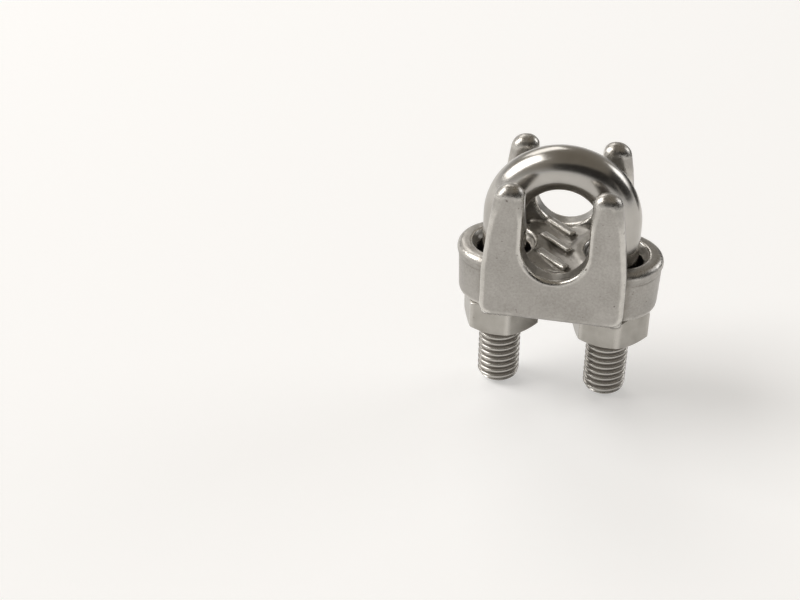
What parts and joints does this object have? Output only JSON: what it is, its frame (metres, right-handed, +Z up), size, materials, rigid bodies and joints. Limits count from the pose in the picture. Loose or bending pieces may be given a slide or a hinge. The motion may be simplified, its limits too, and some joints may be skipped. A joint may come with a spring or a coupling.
{
  "type": "wire rope clip",
  "caption": "Wire rope clip: threaded U-bolt through a cast saddle with horned face plates and a ridged rope seat, held by hex nuts.",
  "frame": {"origin": "floor level under the stud ends, midway between the two studs (centre of the bounding box's bottom)", "axes": "+Z up from the stud ends to the arch, +X from stud to stud, Y along the rope"},
  "size_m": [0.0376, 0.0258, 0.0502],
  "materials": {
    "polished_bar": "polished stainless bar with bright thread crests",
    "cast_satin": "satin cast stainless, brighter on worn edges",
    "nut_steel": "satin stainless hex nut"
  },
  "bodies": {
    "u_bolt": {"u_bolt": "polished_bar"},
    "saddle": {"saddle": "cast_satin"},
    "nut_left": {"nut_left": "nut_steel"},
    "nut_right": {"nut_right": "nut_steel"}
  },
  "joints": [
    {"name": "saddle_slide", "type": "slide", "parent": "u_bolt", "child": "saddle", "axis": [0, 0, 1], "range_m": [-0.0125, 0.004]},
    {"name": "nut_left_spin", "type": "hinge", "parent": "saddle", "child": "nut_left", "pos_m": [-0.0102, 0, 0.0167], "axis": [0, 0, 1], "range_deg": [-3601, 1153]},
    {"name": "nut_right_spin", "type": "hinge", "parent": "saddle", "child": "nut_right", "pos_m": [0.0102, 0, 0.0167], "axis": [0, 0, 1], "range_deg": [-3601, 1153]}
  ],
  "couplings": [
    {"joint": "nut_left_spin", "follows": "saddle_slide", "rad_per_m": 5026.5},
    {"joint": "nut_right_spin", "follows": "saddle_slide", "rad_per_m": 5026.5}
  ]
}
